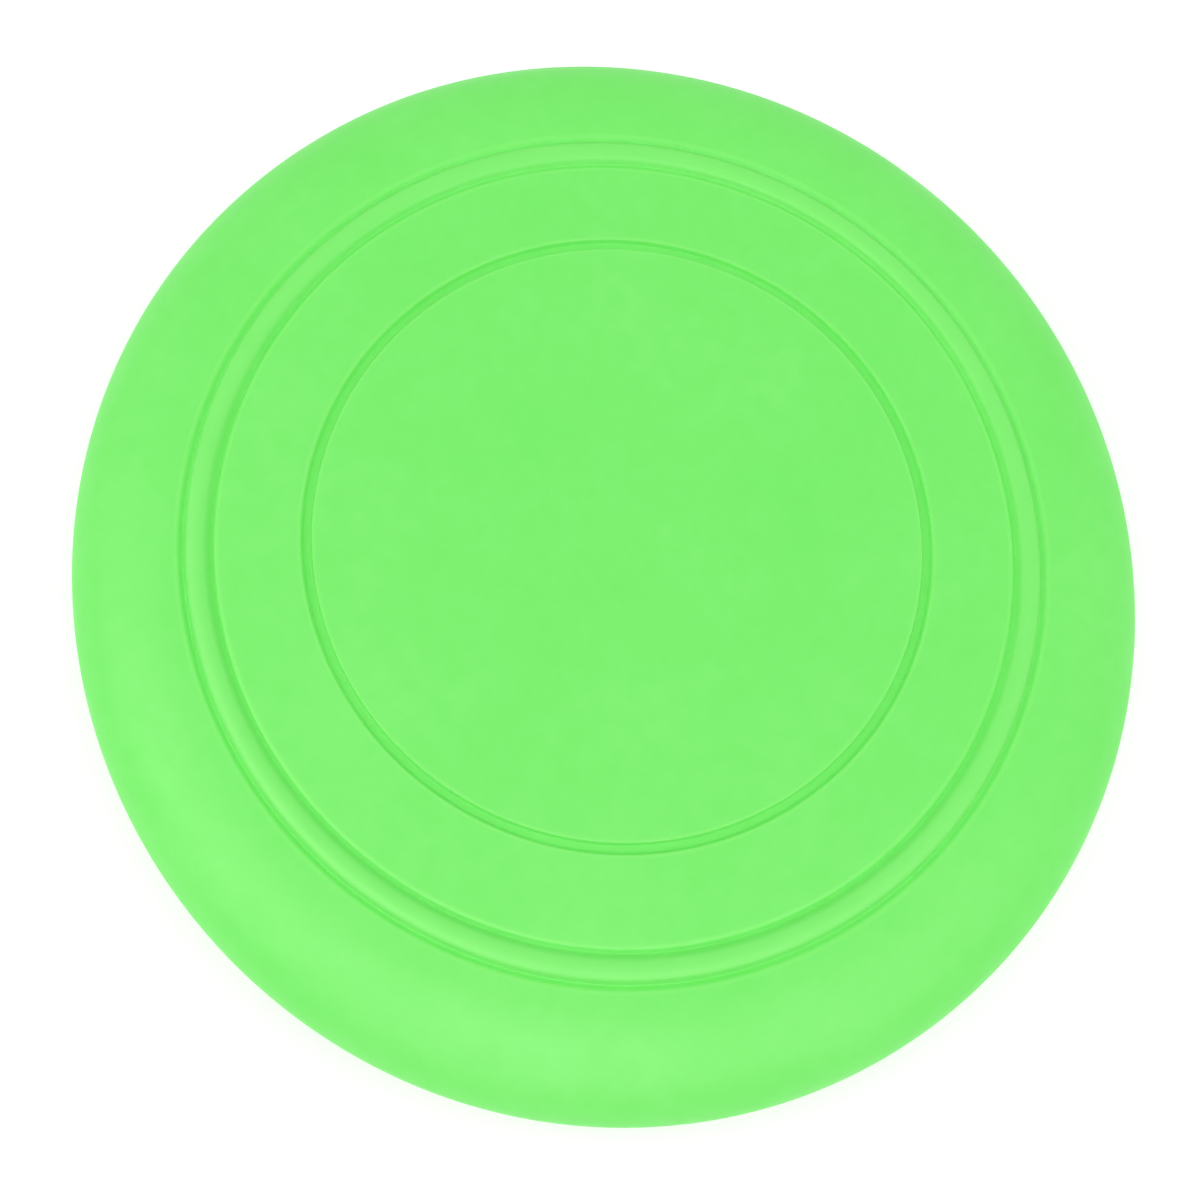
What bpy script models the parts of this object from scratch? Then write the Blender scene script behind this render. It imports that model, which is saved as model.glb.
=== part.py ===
"""Soft flying disc, 180 mm across: one piece of silicone, turned from a single closed section.

Metres, +Z up. The origin is the centre of the plane that the rim's foot rests on.
From the axis outwards the section is a flat centre panel, a flat-bottomed channel, a gently falling
web, a low round grip bead between two fine creases, and a broad shoulder that rolls over into the
hanging rim.
"""

import math

import bpy

# Driving dimensions.
RADIUS = 0.090
HEIGHT = 0.022  # from the foot of the rim to the crest of the grip bead
PLATE_THICKNESS = 0.0024
TURN_STEPS = 96  # facets round the disc

# Channel round the flat centre panel.
CHANNEL_RADIUS = 0.0497  # to the middle of the channel
CHANNEL_WIDTH = 0.0016  # between the middles of its sloping walls
CHANNEL_DEPTH = 0.0009
CHANNEL_WALL_RUN = 0.0004
CHANNEL_FILLET = 0.0002

# Grip bead, between two creases.
BEAD_RADIUS = 0.0669
BEAD_WIDTH = 0.0044  # between the bottoms of the creases
BEAD_RISE = 0.00075  # crest above the web
CREASE_DEPTH = 0.00055
CREASE_RUN = 0.00065  # radial width of each side of a crease

# The web falls this much for each metre outwards.
WEB_SLOPE = 0.018

# Shoulder, an ellipse in section, and the rim that hangs from it.
SHOULDER_RUN = 0.0180
INNER_SHOULDER_RUN = 0.0150
WIDEST_Z = 0.0085  # height of the widest circle, where the shoulder turns into the rim
RIM_THICKNESS = 0.0036
RIM_DRAFT = 0.0003  # how far the rim's outer side leans in, down to the foot
FOOT_OUTER_FILLET = 0.0011
FOOT_INNER_FILLET = 0.0006

# Steps in each rounded stretch of the section.
FILLET_STEPS = 3
BEAD_STEPS = 6
SHOULDER_STEPS = 10

SILICONE_COLOUR = (0.19, 0.85, 0.14, 1.0)
SILICONE_ROUGHNESS = 0.55
MERGE_DISTANCE = 0.00001


def web_z(radius):
    """Height of the web's upper surface. It is BEAD_RISE under the bead's crest at the bead."""
    return HEIGHT - BEAD_RISE + WEB_SLOPE * (BEAD_RADIUS - radius)


def arc(centre, semi_axes, start_deg, end_deg, steps):
    """Points along an ellipse in the (radius, height) plane, both ends included."""
    angles = [math.radians(start_deg + (end_deg - start_deg) * i / steps) for i in range(steps + 1)]
    across, up = semi_axes
    return [(centre[0] + across * math.cos(angle), centre[1] + up * math.sin(angle)) for angle in angles]


def fillet(before, corner, after, radius):
    """Points of the arc that rounds a corner between two straight stretches."""
    angle_before = math.atan2(before[1] - corner[1], before[0] - corner[0])
    angle_after = math.atan2(after[1] - corner[1], after[0] - corner[0])
    opening = (angle_after - angle_before + math.pi) % (2 * math.pi) - math.pi
    bisector = angle_before + opening / 2
    reach = radius / math.sin(abs(opening) / 2)
    centre = (corner[0] + reach * math.cos(bisector), corner[1] + reach * math.sin(bisector))
    swing = math.copysign(math.pi - abs(opening), -opening)
    start = math.degrees(bisector + math.pi - swing / 2)
    return arc(centre, (radius, radius), start, start + math.degrees(swing), FILLET_STEPS)


def panel_section():
    """From the axis over the level panel, down into the channel and up to the web, corners rounded."""
    inner_wall = CHANNEL_RADIUS - CHANNEL_WIDTH / 2
    outer_wall = CHANNEL_RADIUS + CHANNEL_WIDTH / 2
    half_run = CHANNEL_WALL_RUN / 2
    panel_z = web_z(CHANNEL_RADIUS)
    floor_z = panel_z - CHANNEL_DEPTH
    corners = [
        (0.0, panel_z),
        (inner_wall - half_run, panel_z),
        (inner_wall + half_run, floor_z),
        (outer_wall - half_run, floor_z),
        (outer_wall + half_run, web_z(outer_wall + half_run)),
        (BEAD_RADIUS, web_z(BEAD_RADIUS)),
    ]
    section = [corners[0]]
    for before, corner, after in zip(corners, corners[1:], corners[2:]):
        section += fillet(before, corner, after, CHANNEL_FILLET)
    return section


def bead_section():
    """The round bead with a V-shaped crease on each side of it."""
    half_width = BEAD_WIDTH / 2
    bead_round = (half_width**2 + BEAD_RISE**2) / (2 * BEAD_RISE)
    half_angle = math.degrees(math.asin((half_width - CREASE_RUN) / bead_round))
    centre = (BEAD_RADIUS, HEIGHT - bead_round)
    bead = arc(centre, (bead_round, bead_round), 90 + half_angle, 90 - half_angle, BEAD_STEPS)
    creases = []
    for side in (-1, 1):
        bottom = BEAD_RADIUS + side * half_width
        lip = bottom + side * CREASE_RUN
        creases.append([(lip, web_z(lip)), (bottom, web_z(bottom) - CREASE_DEPTH)])
    return creases[0] + bead + creases[1][::-1]


def outer_rim_section():
    """Down the shoulder and the rim's outer side, round the foot, to the foot of its inner side."""
    start = RADIUS - SHOULDER_RUN
    drop = web_z(start) - WIDEST_Z
    shoulder = arc((start, WIDEST_Z), (SHOULDER_RUN, drop), 90, 0, SHOULDER_STEPS)
    foot_outer = (RADIUS - RIM_DRAFT, 0.0)
    foot_inner = (RADIUS - RIM_THICKNESS, 0.0)
    outer_round = fillet(shoulder[-1], foot_outer, foot_inner, FOOT_OUTER_FILLET)
    inner_round = fillet(foot_outer, foot_inner, (foot_inner[0], WIDEST_Z), FOOT_INNER_FILLET)
    return shoulder + outer_round + inner_round


def underside_section():
    """Up the rim's inner side, round under the shoulder, and in under the web and the panel."""
    start = RADIUS - RIM_THICKNESS - INNER_SHOULDER_RUN
    rise = web_z(start) - PLATE_THICKNESS - WIDEST_Z
    shoulder = arc((start, WIDEST_Z), (INNER_SHOULDER_RUN, rise), 0, 90, SHOULDER_STEPS)
    panel_z = web_z(CHANNEL_RADIUS) - PLATE_THICKNESS
    return shoulder + [(CHANNEL_RADIUS, panel_z), (0.0, panel_z)]


def disc_section():
    """The whole section, from the axis over the top, round the rim and back underneath."""
    return panel_section() + bead_section() + outer_rim_section() + underside_section()


def silicone():
    material = bpy.data.materials.new("green_silicone")
    material.use_nodes = True
    shader = material.node_tree.nodes["Principled BSDF"]
    shader.inputs["Base Color"].default_value = SILICONE_COLOUR
    shader.inputs["Roughness"].default_value = SILICONE_ROUGHNESS
    shader.inputs["Metallic"].default_value = 0.0
    return material


def turned(name, section, collection):
    """A closed solid: the section, which starts and ends on the axis, turned about Z."""
    points = [(radius, 0.0, height) for radius, height in section]
    edges = [(i, i + 1) for i in range(len(points) - 1)]
    mesh = bpy.data.meshes.new(name)
    mesh.from_pydata(points, edges, [])
    body = bpy.data.objects.new(name, mesh)
    collection.objects.link(body)
    screw = body.modifiers.new("turn", "SCREW")
    screw.axis = "Z"
    screw.angle = 2 * math.pi
    screw.steps = TURN_STEPS
    screw.render_steps = TURN_STEPS
    screw.use_merge_vertices = True
    screw.merge_threshold = MERGE_DISTANCE
    screw.use_smooth_shade = True
    return body


def main():
    for old in list(bpy.data.objects):
        bpy.data.objects.remove(old)
    collection = bpy.data.collections.new("flying_disc")
    bpy.context.scene.collection.children.link(collection)
    disc = turned("disc", disc_section(), collection)
    disc.data.materials.append(silicone())


main()
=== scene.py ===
"""The looks of the soft flying disc: a fine turned mesh in green silicone on a white studio floor.

Lengths are in metres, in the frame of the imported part: +Z up, with the rim's foot at z = 0.
"""

import math

import bpy
from mathutils import Matrix, Vector, noise


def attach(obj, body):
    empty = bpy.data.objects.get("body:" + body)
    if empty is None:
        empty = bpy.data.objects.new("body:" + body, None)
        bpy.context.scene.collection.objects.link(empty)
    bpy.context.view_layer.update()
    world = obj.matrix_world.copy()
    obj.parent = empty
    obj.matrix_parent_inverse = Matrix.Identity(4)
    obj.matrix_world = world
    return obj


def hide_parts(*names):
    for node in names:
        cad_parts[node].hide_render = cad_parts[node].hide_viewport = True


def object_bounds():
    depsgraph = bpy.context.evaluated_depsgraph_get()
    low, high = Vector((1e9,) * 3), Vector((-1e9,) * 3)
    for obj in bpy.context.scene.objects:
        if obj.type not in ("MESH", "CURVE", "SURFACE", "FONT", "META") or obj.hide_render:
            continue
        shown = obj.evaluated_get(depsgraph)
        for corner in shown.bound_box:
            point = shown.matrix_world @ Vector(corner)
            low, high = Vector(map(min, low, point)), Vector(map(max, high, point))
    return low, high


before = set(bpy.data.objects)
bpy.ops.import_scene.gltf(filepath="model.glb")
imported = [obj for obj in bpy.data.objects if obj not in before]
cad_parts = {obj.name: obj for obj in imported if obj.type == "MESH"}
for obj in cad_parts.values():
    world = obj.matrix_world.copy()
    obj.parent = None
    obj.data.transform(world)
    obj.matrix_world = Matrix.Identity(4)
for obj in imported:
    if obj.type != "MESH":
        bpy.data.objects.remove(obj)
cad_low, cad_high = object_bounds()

# The disc, as in the CAD model.
RADIUS = cad_high.x
HEIGHT = cad_high.z
PLATE_THICKNESS = 0.0024
CHANNEL_RADIUS = 0.0497  # middle of the channel round the centre panel
CHANNEL_WIDTH = 0.0016  # between the middles of its walls
CHANNEL_DEPTH = 0.0009
BEAD_RADIUS = 0.0669
BEAD_WIDTH = 0.0044
BEAD_RISE = 0.00075
CREASE_DEPTH = 0.00055  # the fine groove on each side of the bead
WEB_SLOPE = 0.018
SHOULDER_RUN = 0.0180
INNER_SHOULDER_RUN = 0.0150
WIDEST_Z = 0.0085
RIM_THICKNESS = 0.0036
RIM_DRAFT = 0.0003
FOOT_OUTER_FILLET = 0.0011
FOOT_INNER_FILLET = 0.0006

# What only the fine mesh has: rounded grooves, a parting line, and the unevenness of a soft disc.
CHANNEL_WALL_RUN = 0.0006
CHANNEL_WALL_EASE = 1.6  # above 1, a wall is rounder at its lip than at its foot
CHANNEL_LIP = (CHANNEL_WIDTH + CHANNEL_WALL_RUN) / 2  # from the channel's middle out to each lip
CREASE_WIDTH = 0.00125
CREASE_SPREAD = CREASE_WIDTH / 2.4  # of the bell curve that a crease follows in section
PARTING_RIDGE = 0.00012  # height of the mould's parting line, at the widest circle
PARTING_WIDTH = 0.00035
PARTING_STEPS = 4
WAVE_HEIGHT = 0.00016  # slow unevenness of the soft plate
WAVE_LENGTH = 0.055
WAVE_SLICE = 0.5  # height of the cut through the noise that the waves follow
WAVE_FULL_Z = 0.016  # the unevenness fades out from here down
WAVE_NONE_Z = 0.004  # and is gone here
OVAL_PULL = 0.0015  # how far the soft rim is out of round, outwards on one diameter and inwards across it
OVAL_DIRECTION = 128  # degrees from +X to the longer diameter
SECTION_RADIUS = "section_radius"  # names each vertex's radius before the pull

# How finely the mesh is cut. Each _STEP is the most between neighbouring radii of the plate.
TURN_STEPS = 352
PLAIN_STEP = 0.0020
CHANNEL_STEP = 0.0001
BEAD_STEP = 0.00013
FEATURE_MARGIN = 0.0013  # the channel's and the bead's finer steps run on this far past them
SHOULDER_STEPS = 30
SHOULDER_END = 2  # degrees above level, where the shoulder gives way to the parting line
FILLET_STEPS = 6
WALL_STEPS = 6
FOOT_STEPS = 3
MERGE_DISTANCE = 0.00001

# The silicone: its greens, and the paler green painted on as a highlight.
GREEN = (0.181, 0.800, 0.141)
GREEN_PALE = (0.201, 0.818, 0.159)
GREEN_DEEP = (0.162, 0.770, 0.122)
# painted highlight: a paler green for the bead's crest and the lips of channel and creases, where light
# catches them
GREEN_PAINTED_HIGHLIGHT = (0.211, 0.820, 0.160)
# the painted highlight along the bead's crest: half its width, and its fade
CREST_HIGHLIGHT_HALF = BEAD_WIDTH * 0.25
CREST_HIGHLIGHT_FADE = BEAD_WIDTH * 0.2
LIP_WIDTH = 0.0003
CREASE_LIP = BEAD_WIDTH / 2 + CREASE_WIDTH * 0.8  # from the bead's middle out to a crease's outer lip
UPPER_SIDE_LOW = HEIGHT - 0.0018  # the painted highlight is only on the upper side: none below here
UPPER_SIDE_HIGH = HEIGHT - 0.0014  # and all of it above here
LEAST_HIGHLIGHT = 0.6  # share of the painted highlight that is left between its brightest patches

# The silicone's blotches: how far across, and how strong.
MOTTLE_SIZE = 0.022
FINE_MOTTLE_SIZE = 0.0035
FINE_MOTTLE_SHARE = 0.35
# patches that vary the strength of the painted highlight
HIGHLIGHT_PATCH_SIZE = 0.006
GLOSS_PATCH_SIZE = 0.009
ROUGHNESS_LOW = 0.40
ROUGHNESS_HIGH = 0.48
PEEL_SIZE = 0.0028
PEEL_HEIGHT = 0.0001
PEEL_STRENGTH = 0.25
GRAIN_SIZE = 0.00035
GRAIN_HEIGHT = 0.00003
GRAIN_STRENGTH = 0.35

# The view, from above and a little to the near side.
CAMERA_DISTANCE = 0.200  # from the middle of the centre panel
CAMERA_TILT = 17.1  # degrees off straight down, towards -Y
CAMERA_ROLL = 16.6
CAMERA_LENS = 37.66
AIM_OFFSET = (-0.0001, -0.0121)  # from the panel's middle to the point looked at

# The floor: a matt white table, lit from below as well, so that it stays white beside the disc.
FLOOR_RADIUS = 3.0
FLOOR_SIDES = 96
FLOOR_GAP = 0.00002  # below the rim's foot
FLOOR_GLOW = 0.14
FLOOR_WHITE = (0.93, 0.93, 0.93)
FLOOR_WHITER = (0.95, 0.95, 0.95)
FLOOR_BLOTCH_SIZE = 0.3

# The light: strength of the white sky, and softboxes as (name, location, watts).
SKY_AT_HORIZON = 0.41
SKY_OVERHEAD = 1.16
SOFTBOX_SIZE = 0.6
SOFTBOXES = (
    ("left", (-0.83, -0.18, 0.50), 1.5),
    ("right", (0.83, 0.18, 0.50), 1.3),
    ("near", (0.00, -0.85, 0.50), 1.0),
)
GLOSS_SOFTBOX_SIZE = 0.9
GLOSS_COLOUR = (1.0, 0.85, 0.85)
GLOSS_SOFTBOXES = (
    ("gloss_right", (0.51, -0.48, 0.70), 16.0),
    ("gloss_near", (-0.10, -0.70, 0.70), 18.0),
    ("gloss_left", (-0.62, -0.32, 0.70), 14.0),
)


def smooth_step(x):
    """0 below 0, 1 above 1, and smooth between them."""
    x = min(max(x, 0.0), 1.0)
    return x * x * (3.0 - 2.0 * x)


def web_z(radius):
    """Height of the web's slope, which the other features of the upper side rise and sink from."""
    return HEIGHT - BEAD_RISE + WEB_SLOPE * (BEAD_RADIUS - radius)


def channel_sink(radius):
    """Depth of the flat-bottomed channel, whose walls are rounded at the lip and the foot."""
    inside = CHANNEL_LIP - abs(radius - CHANNEL_RADIUS)
    return CHANNEL_DEPTH * smooth_step(max(inside / CHANNEL_WALL_RUN, 0.0) ** CHANNEL_WALL_EASE)


def panel_sink(radius):
    """How far the flat centre panel lies under the line of the sloping web."""
    return WEB_SLOPE * max(CHANNEL_RADIUS - radius, 0.0)


def bead_lift(radius):
    """How far the bead stands above the web, less its two creases."""
    half = BEAD_WIDTH / 2
    bead_round = (half**2 + BEAD_RISE**2) / (2 * BEAD_RISE)
    off = abs(radius - BEAD_RADIUS)
    crest = math.sqrt(bead_round**2 - min(off, half) ** 2) - bead_round + BEAD_RISE
    return crest - CREASE_DEPTH * math.exp(-(((off - half) / CREASE_SPREAD) ** 2))


def top_z(radius):
    """Height of the upper side, from the axis out to where the shoulder starts."""
    return web_z(radius) - panel_sink(radius) + bead_lift(radius) - channel_sink(radius)


def underside_z(radius):
    """Height of the plate's underside."""
    return web_z(radius) - panel_sink(radius) - PLATE_THICKNESS


def spaced(start, end, step):
    """Even values after start, up to and with end, no more than a step apart."""
    count = math.ceil((end - start) / step)
    return [start + (end - start) * i / count for i in range(1, count + 1)]


def plate_radii(outermost, features):
    """Radii from the axis outwards, closer over each feature, which is (middle, width, step)."""
    radii = [0.0]
    for middle, width, step in features:
        reach = width / 2 + FEATURE_MARGIN
        radii += spaced(radii[-1], middle - reach, PLAIN_STEP)
        radii += spaced(radii[-1], middle + reach, step)
    return radii + spaced(radii[-1], outermost, PLAIN_STEP)


def arc(centre, semi_axes, start_deg, end_deg, steps):
    """Points along an ellipse in the (radius, height) plane, both ends included."""
    angles = [math.radians(start_deg + (end_deg - start_deg) * i / steps) for i in range(steps + 1)]
    across, up = semi_axes
    return [(centre[0] + across * math.cos(angle), centre[1] + up * math.sin(angle)) for angle in angles]


def line(start, end, steps):
    """Points along a straight stretch, both ends left out."""
    shares = [i / steps for i in range(1, steps)]
    return [tuple(a + (b - a) * share for a, b in zip(start, end)) for share in shares]


def parting_line():
    """The ridge that the mould leaves round the widest circle, seen in section, top to bottom."""
    half = PARTING_STEPS // 2
    offsets = [PARTING_WIDTH * i / PARTING_STEPS for i in range(half, -half - 1, -1)]
    rises = [PARTING_RIDGE * math.cos(math.pi * off / PARTING_WIDTH) ** 2 for off in offsets]
    return [(RADIUS + rise, WIDEST_Z + off) for off, rise in zip(offsets, rises)]


def rim_section():
    """Down the shoulder and the outer side, round the foot, and up the inner side to the plate."""
    start = RADIUS - SHOULDER_RUN
    drop = web_z(start) - WIDEST_Z
    shoulder = arc((start, WIDEST_Z), (SHOULDER_RUN, drop), 90, SHOULDER_END, SHOULDER_STEPS)
    foot_outer = (RADIUS - RIM_DRAFT - FOOT_OUTER_FILLET, FOOT_OUTER_FILLET)
    foot_inner = (RADIUS - RIM_THICKNESS + FOOT_INNER_FILLET, FOOT_INNER_FILLET)
    outer_round = arc(foot_outer, (FOOT_OUTER_FILLET,) * 2, 0, -90, FILLET_STEPS)
    inner_round = arc(foot_inner, (FOOT_INNER_FILLET,) * 2, -90, -180, FILLET_STEPS)
    ridge = parting_line()
    inner_start = RADIUS - RIM_THICKNESS - INNER_SHOULDER_RUN
    inner_rise = underside_z(inner_start) - WIDEST_Z
    inner_shoulder = arc((inner_start, WIDEST_Z), (INNER_SHOULDER_RUN, inner_rise), 0, 90, SHOULDER_STEPS)
    return (
        shoulder
        + ridge
        + line(ridge[-1], outer_round[0], WALL_STEPS)
        + outer_round
        + line(outer_round[-1], inner_round[0], FOOT_STEPS)
        + inner_round
        + line(inner_round[-1], inner_shoulder[0], WALL_STEPS)
        + inner_shoulder
    )


def disc_section():
    """The whole section, from the axis over the top, round the rim and back underneath."""
    channel = (CHANNEL_RADIUS, CHANNEL_WIDTH, CHANNEL_STEP)
    bead = (BEAD_RADIUS, BEAD_WIDTH, BEAD_STEP)
    top = [(r, top_z(r)) for r in plate_radii(RADIUS - SHOULDER_RUN, [channel, bead])]
    under_edge = RADIUS - RIM_THICKNESS - INNER_SHOULDER_RUN
    under = [(r, underside_z(r)) for r in plate_radii(under_edge, [])]
    return top[:-1] + rim_section() + under[-2::-1]


def turned(name, section):
    """A closed mesh object: the section turned about Z."""
    mesh = bpy.data.meshes.new(name + "_section")
    points = [(radius, 0.0, z) for radius, z in section]
    edges = [(i, i + 1) for i in range(len(points) - 1)]
    mesh.from_pydata(points, edges, [])
    profile = bpy.data.objects.new(name + "_section", mesh)
    bpy.context.scene.collection.objects.link(profile)
    screw = profile.modifiers.new("turn", "SCREW")
    screw.steps = TURN_STEPS
    screw.render_steps = TURN_STEPS
    screw.use_merge_vertices = True
    screw.merge_threshold = MERGE_DISTANCE
    graph = bpy.context.evaluated_depsgraph_get()
    solid = bpy.data.meshes.new_from_object(profile.evaluated_get(graph))
    bpy.data.objects.remove(profile)
    solid.name = name
    solid.shade_smooth()
    body = bpy.data.objects.new(name, solid)
    bpy.context.scene.collection.objects.link(body)
    return body


def make_uneven(mesh):
    """Lifts and dips the plate a little, as soft moulded silicone lies, and leaves the foot flat."""
    for vertex in mesh.vertices:
        x, y, z = vertex.co
        share = smooth_step((z - WAVE_NONE_Z) / (WAVE_FULL_Z - WAVE_NONE_Z))
        wave = noise.noise(Vector((x / WAVE_LENGTH, y / WAVE_LENGTH, WAVE_SLICE)))
        vertex.co.z += WAVE_HEIGHT * wave * share


def keep_section_radius(mesh):
    """Notes each vertex's radius in the section, which places the rings of painted highlight after the
    disc is pulled.
    """
    radii = [math.hypot(vertex.co.x, vertex.co.y) for vertex in mesh.vertices]
    mesh.attributes.new(SECTION_RADIUS, "FLOAT", "POINT").data.foreach_set("value", radii)


def make_oval(mesh):
    """Pulls the disc a little out of round, more towards the rim, as soft silicone lies after handling."""
    for vertex in mesh.vertices:
        x, y, _ = vertex.co
        turn = math.atan2(y, x) - math.radians(OVAL_DIRECTION)
        scale = 1.0 + OVAL_PULL * (x * x + y * y) / RADIUS**3 * math.cos(2 * turn)
        vertex.co.x = x * scale
        vertex.co.y = y * scale


def make_disc():
    """The one moulded piece, which stands for the CAD disc."""
    disc = turned("silicone_disc", disc_section())
    keep_section_radius(disc.data)
    make_uneven(disc.data)
    make_oval(disc.data)
    disc.data.materials.append(silicone())
    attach(disc, "root")
    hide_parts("disc")
    return disc


class Nodes:
    """Short calls for building one material's node tree."""

    def __init__(self, name):
        self.material = bpy.data.materials.new(name)
        self.material.use_nodes = True
        self.tree = self.material.node_tree
        self.shader = self.tree.nodes["Principled BSDF"]
        self.position = self.add("ShaderNodeTexCoord").outputs["Object"]

    def add(self, kind, **settings):
        """A new node of this kind."""
        node = self.tree.nodes.new(kind)
        for key, value in settings.items():
            setattr(node, key, value)
        return node

    def link(self, source, socket):
        self.tree.links.new(source, socket)

    def noise(self, size, detail=2.0):
        """Noise whose blobs are about this many metres across."""
        node = self.add("ShaderNodeTexNoise")
        node.inputs["Scale"].default_value = 1.0 / size
        node.inputs["Detail"].default_value = detail
        self.link(self.position, node.inputs["Vector"])
        return node.outputs["Fac"]

    def ranged(self, source, low, high, from_low=0.3, from_high=0.7):
        """The source, with from_low turned into low and from_high into high, and held between."""
        node = self.add("ShaderNodeMapRange")
        limits = {"From Min": from_low, "From Max": from_high, "To Min": low, "To Max": high}
        for key, value in limits.items():
            node.inputs[key].default_value = value
        self.link(source, node.inputs["Value"])
        return node.outputs["Result"]

    def mixed(self, factor, first, second):
        """A colour between two colours or sockets. The node's colour sockets go by number."""
        node = self.add("ShaderNodeMix", data_type="RGBA")
        self.link(factor, node.inputs["Factor"])
        for socket, value in ((node.inputs[6], first), (node.inputs[7], second)):
            if isinstance(value, tuple):
                socket.default_value = (*value, 1.0)
            else:
                self.link(value, socket)
        return node.outputs[2]

    def maths(self, operation, *values):
        """A Math node on one or two values, each a number or a socket."""
        node = self.add("ShaderNodeMath", operation=operation)
        for socket, value in zip(node.inputs, values):
            if isinstance(value, float):
                socket.default_value = value
            else:
                self.link(value, socket)
        return node.outputs["Value"]

    def height(self):
        """Height above the floor."""
        split = self.add("ShaderNodeSeparateXYZ")
        self.link(self.position, split.inputs["Vector"])
        return split.outputs["Z"]

    def ring(self, radius, middle, half_width, fade):
        """1 within half_width of a circle about the axis, fading to 0 beyond."""
        off = self.maths("ABSOLUTE", self.maths("SUBTRACT", radius, middle))
        return self.ranged(off, 1.0, 0.0, half_width, half_width + fade)

    def bump(self, height, distance, strength, below=None):
        """The surface's normal, bent by a height and by the bump below, if there is one."""
        node = self.add("ShaderNodeBump")
        node.inputs["Distance"].default_value = distance
        node.inputs["Strength"].default_value = strength
        self.link(height, node.inputs["Height"])
        if below:
            self.link(below, node.inputs["Normal"])
        return node.outputs["Normal"]


def painted_highlight(nodes):
    """Where a highlight is painted on the upper side: the bead's crest, and the lips of channel and
    creases.
    """
    radius = nodes.add("ShaderNodeAttribute", attribute_name=SECTION_RADIUS).outputs["Fac"]
    # painted highlight: a ring along the bead's crest, and thin rings on the lips of channel and creases
    highlight_mask = nodes.ring(radius, BEAD_RADIUS, CREST_HIGHLIGHT_HALF, CREST_HIGHLIGHT_FADE)
    for middle, out in ((CHANNEL_RADIUS, CHANNEL_LIP), (BEAD_RADIUS, CREASE_LIP)):
        for side in (-1, 1):
            lip = nodes.ring(radius, middle + side * out, LIP_WIDTH / 2, LIP_WIDTH)
            highlight_mask = nodes.maths("MAXIMUM", highlight_mask, lip)
    # the painted highlight stays on the upper side, where the light falls
    upper_side = nodes.ranged(nodes.height(), 0.0, 1.0, UPPER_SIDE_LOW, UPPER_SIDE_HIGH)
    patches = nodes.ranged(nodes.noise(HIGHLIGHT_PATCH_SIZE), LEAST_HIGHLIGHT, 1.0)
    return nodes.maths("MULTIPLY", nodes.maths("MULTIPLY", highlight_mask, upper_side), patches)


def silicone():
    """Matt neon-green silicone: faint mottling, a painted highlight on the bead's crest and the groove
    lips, a moulded orange peel and a fine grain.
    """
    nodes = Nodes("green_silicone")
    mottle = nodes.ranged(nodes.noise(MOTTLE_SIZE, detail=3.0), 0.0, 1.0)
    fine_mottle = nodes.ranged(nodes.noise(FINE_MOTTLE_SIZE), 0.0, FINE_MOTTLE_SHARE)
    colour = nodes.mixed(mottle, GREEN, GREEN_PALE)
    colour = nodes.mixed(fine_mottle, colour, GREEN_DEEP)
    # painted highlight: the crest and the lips turn a paler green
    colour = nodes.mixed(painted_highlight(nodes), colour, GREEN_PAINTED_HIGHLIGHT)
    nodes.link(colour, nodes.shader.inputs["Base Color"])
    roughness = nodes.ranged(nodes.noise(GLOSS_PATCH_SIZE), ROUGHNESS_LOW, ROUGHNESS_HIGH)
    nodes.link(roughness, nodes.shader.inputs["Roughness"])
    peel = nodes.bump(nodes.noise(PEEL_SIZE), PEEL_HEIGHT, PEEL_STRENGTH)
    grain = nodes.bump(nodes.noise(GRAIN_SIZE), GRAIN_HEIGHT, GRAIN_STRENGTH, below=peel)
    nodes.link(grain, nodes.shader.inputs["Normal"])
    for name, value in (
        ("IOR", 1.41),
        ("Specular IOR Level", 0.13),
        ("Subsurface Weight", 0.15),
        ("Subsurface Scale", 0.002),
    ):
        nodes.shader.inputs[name].default_value = value
    nodes.shader.inputs["Subsurface Radius"].default_value = (0.5, 1.0, 0.4)
    return nodes.material


def floor_material():
    """Matt white, faintly blotched, with a glow of its own."""
    nodes = Nodes("white_floor")
    colour = nodes.mixed(nodes.noise(FLOOR_BLOTCH_SIZE), FLOOR_WHITE, FLOOR_WHITER)
    nodes.link(colour, nodes.shader.inputs["Base Color"])
    nodes.shader.inputs["Roughness"].default_value = 0.9
    nodes.shader.inputs["Specular IOR Level"].default_value = 0.1
    nodes.shader.inputs["Emission Color"].default_value = (1.0, 1.0, 1.0, 1.0)
    nodes.shader.inputs["Emission Strength"].default_value = FLOOR_GLOW
    return nodes.material


def make_floor():
    """A wide round floor, just under the rim's foot."""
    bpy.ops.mesh.primitive_circle_add(
        vertices=FLOOR_SIDES,
        radius=FLOOR_RADIUS,
        fill_type="NGON",
        location=(0, 0, -FLOOR_GAP),
    )
    floor = bpy.context.object
    floor.name = "floor"
    floor.data.materials.append(floor_material())


def aimed(location, target, roll_deg=0.0):
    """The placement of a lamp or camera that looks from location at target."""
    look = (Vector(target) - Vector(location)).to_track_quat("-Z", "Y").to_matrix().to_4x4()
    return Matrix.Translation(location) @ look @ Matrix.Rotation(math.radians(roll_deg), 4, "Z")


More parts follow.
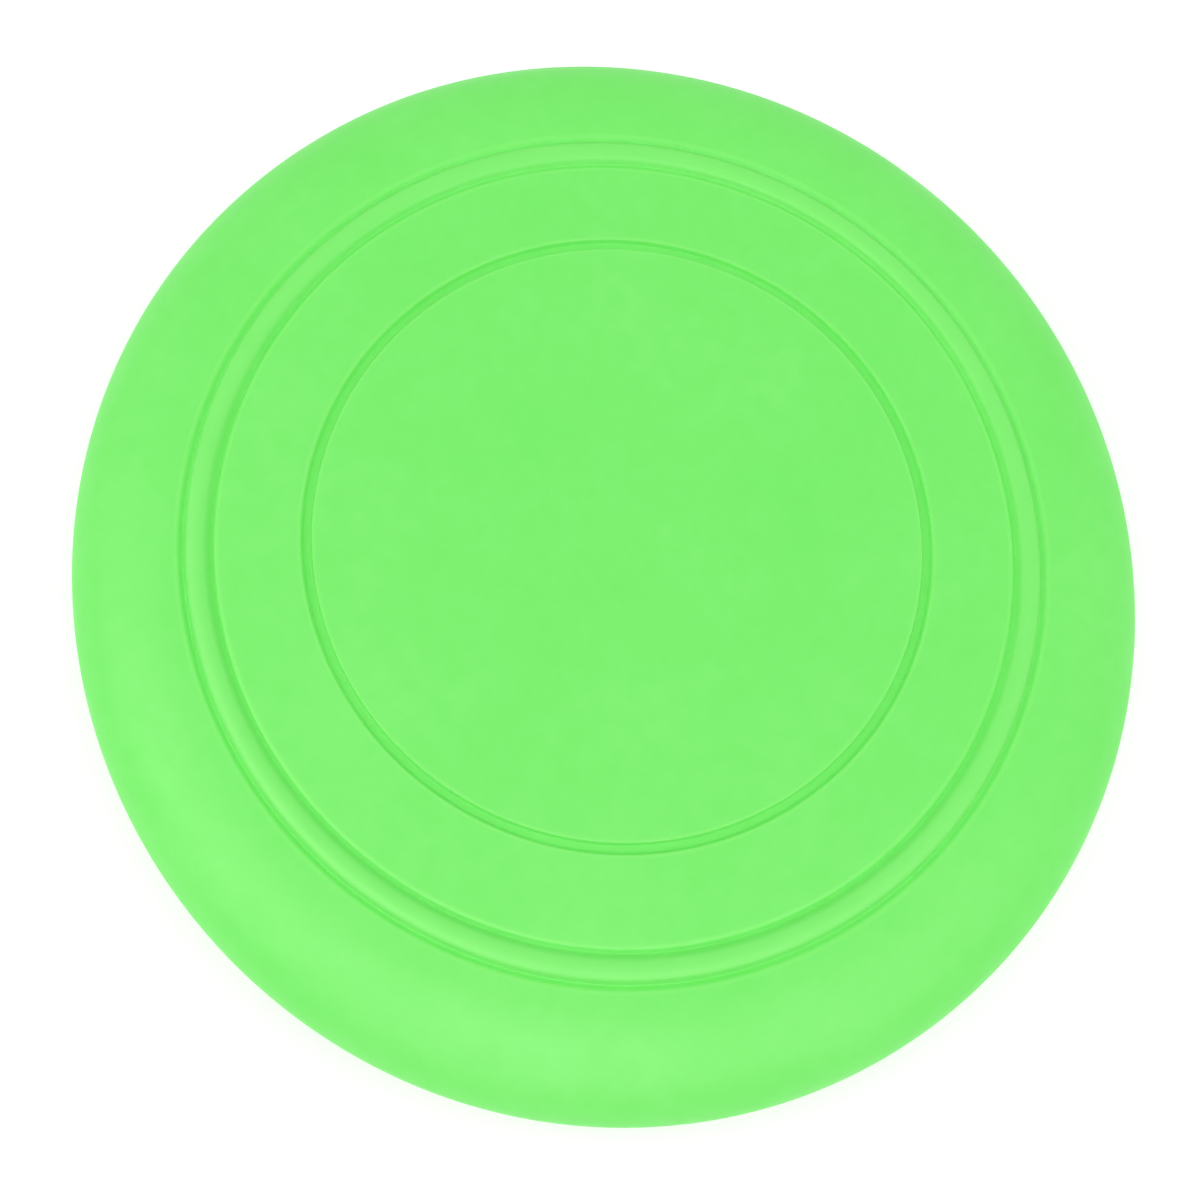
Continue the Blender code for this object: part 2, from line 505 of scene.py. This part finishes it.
def add_softbox(name, location, power, size):
    """A square lamp that faces the disc."""
    data = bpy.data.lights.new(name, "AREA")
    data.shape = "SQUARE"
    data.size = size
    data.energy = power
    lamp = bpy.data.objects.new(name, data)
    bpy.context.scene.collection.objects.link(lamp)
    lamp.matrix_world = aimed(location, (0, 0, HEIGHT / 2))
    return lamp


def studio_sky():
    """A white sky that is brightest overhead."""
    world = bpy.data.worlds.new("studio")
    world.use_nodes = True
    tree = world.node_tree
    background = tree.nodes["Background"]
    background.inputs["Color"].default_value = (1.0, 1.0, 1.0, 1.0)
    split = tree.nodes.new("ShaderNodeSeparateXYZ")
    tree.links.new(tree.nodes.new("ShaderNodeTexCoord").outputs["Generated"], split.inputs["Vector"])
    ramp = tree.nodes.new("ShaderNodeMapRange")
    ramp.inputs["To Min"].default_value = SKY_AT_HORIZON
    ramp.inputs["To Max"].default_value = SKY_OVERHEAD
    tree.links.new(split.outputs["Z"], ramp.inputs["Value"])
    tree.links.new(ramp.outputs["Result"], background.inputs["Strength"])
    return world


def make_light():
    """The sky, and lamps of two kinds. The second kind is seen in gloss and gives no matt light."""
    bpy.context.scene.world = studio_sky()
    for name, location, power in SOFTBOXES:
        add_softbox(name, location, power, SOFTBOX_SIZE)
    for name, location, power in GLOSS_SOFTBOXES:
        lamp = add_softbox(name, location, power, GLOSS_SOFTBOX_SIZE)
        lamp.data.color = GLOSS_COLOUR
        lamp.visible_diffuse = False
    bpy.context.scene.view_settings.view_transform = "Standard"


def make_camera():
    """The camera, which looks past the middle of the centre panel from close above it."""
    tilt = math.radians(CAMERA_TILT)
    panel_z = top_z(0.0)
    location = (0.0, -CAMERA_DISTANCE * math.sin(tilt), panel_z + CAMERA_DISTANCE * math.cos(tilt))
    data = bpy.data.cameras.new("camera")
    data.lens = CAMERA_LENS
    data.clip_start = 0.01
    camera = bpy.data.objects.new("camera", data)
    bpy.context.scene.collection.objects.link(camera)
    camera.matrix_world = aimed(location, (*AIM_OFFSET, panel_z), CAMERA_ROLL)
    bpy.context.scene.camera = camera


make_camera()
make_light()
make_floor()
make_disc()
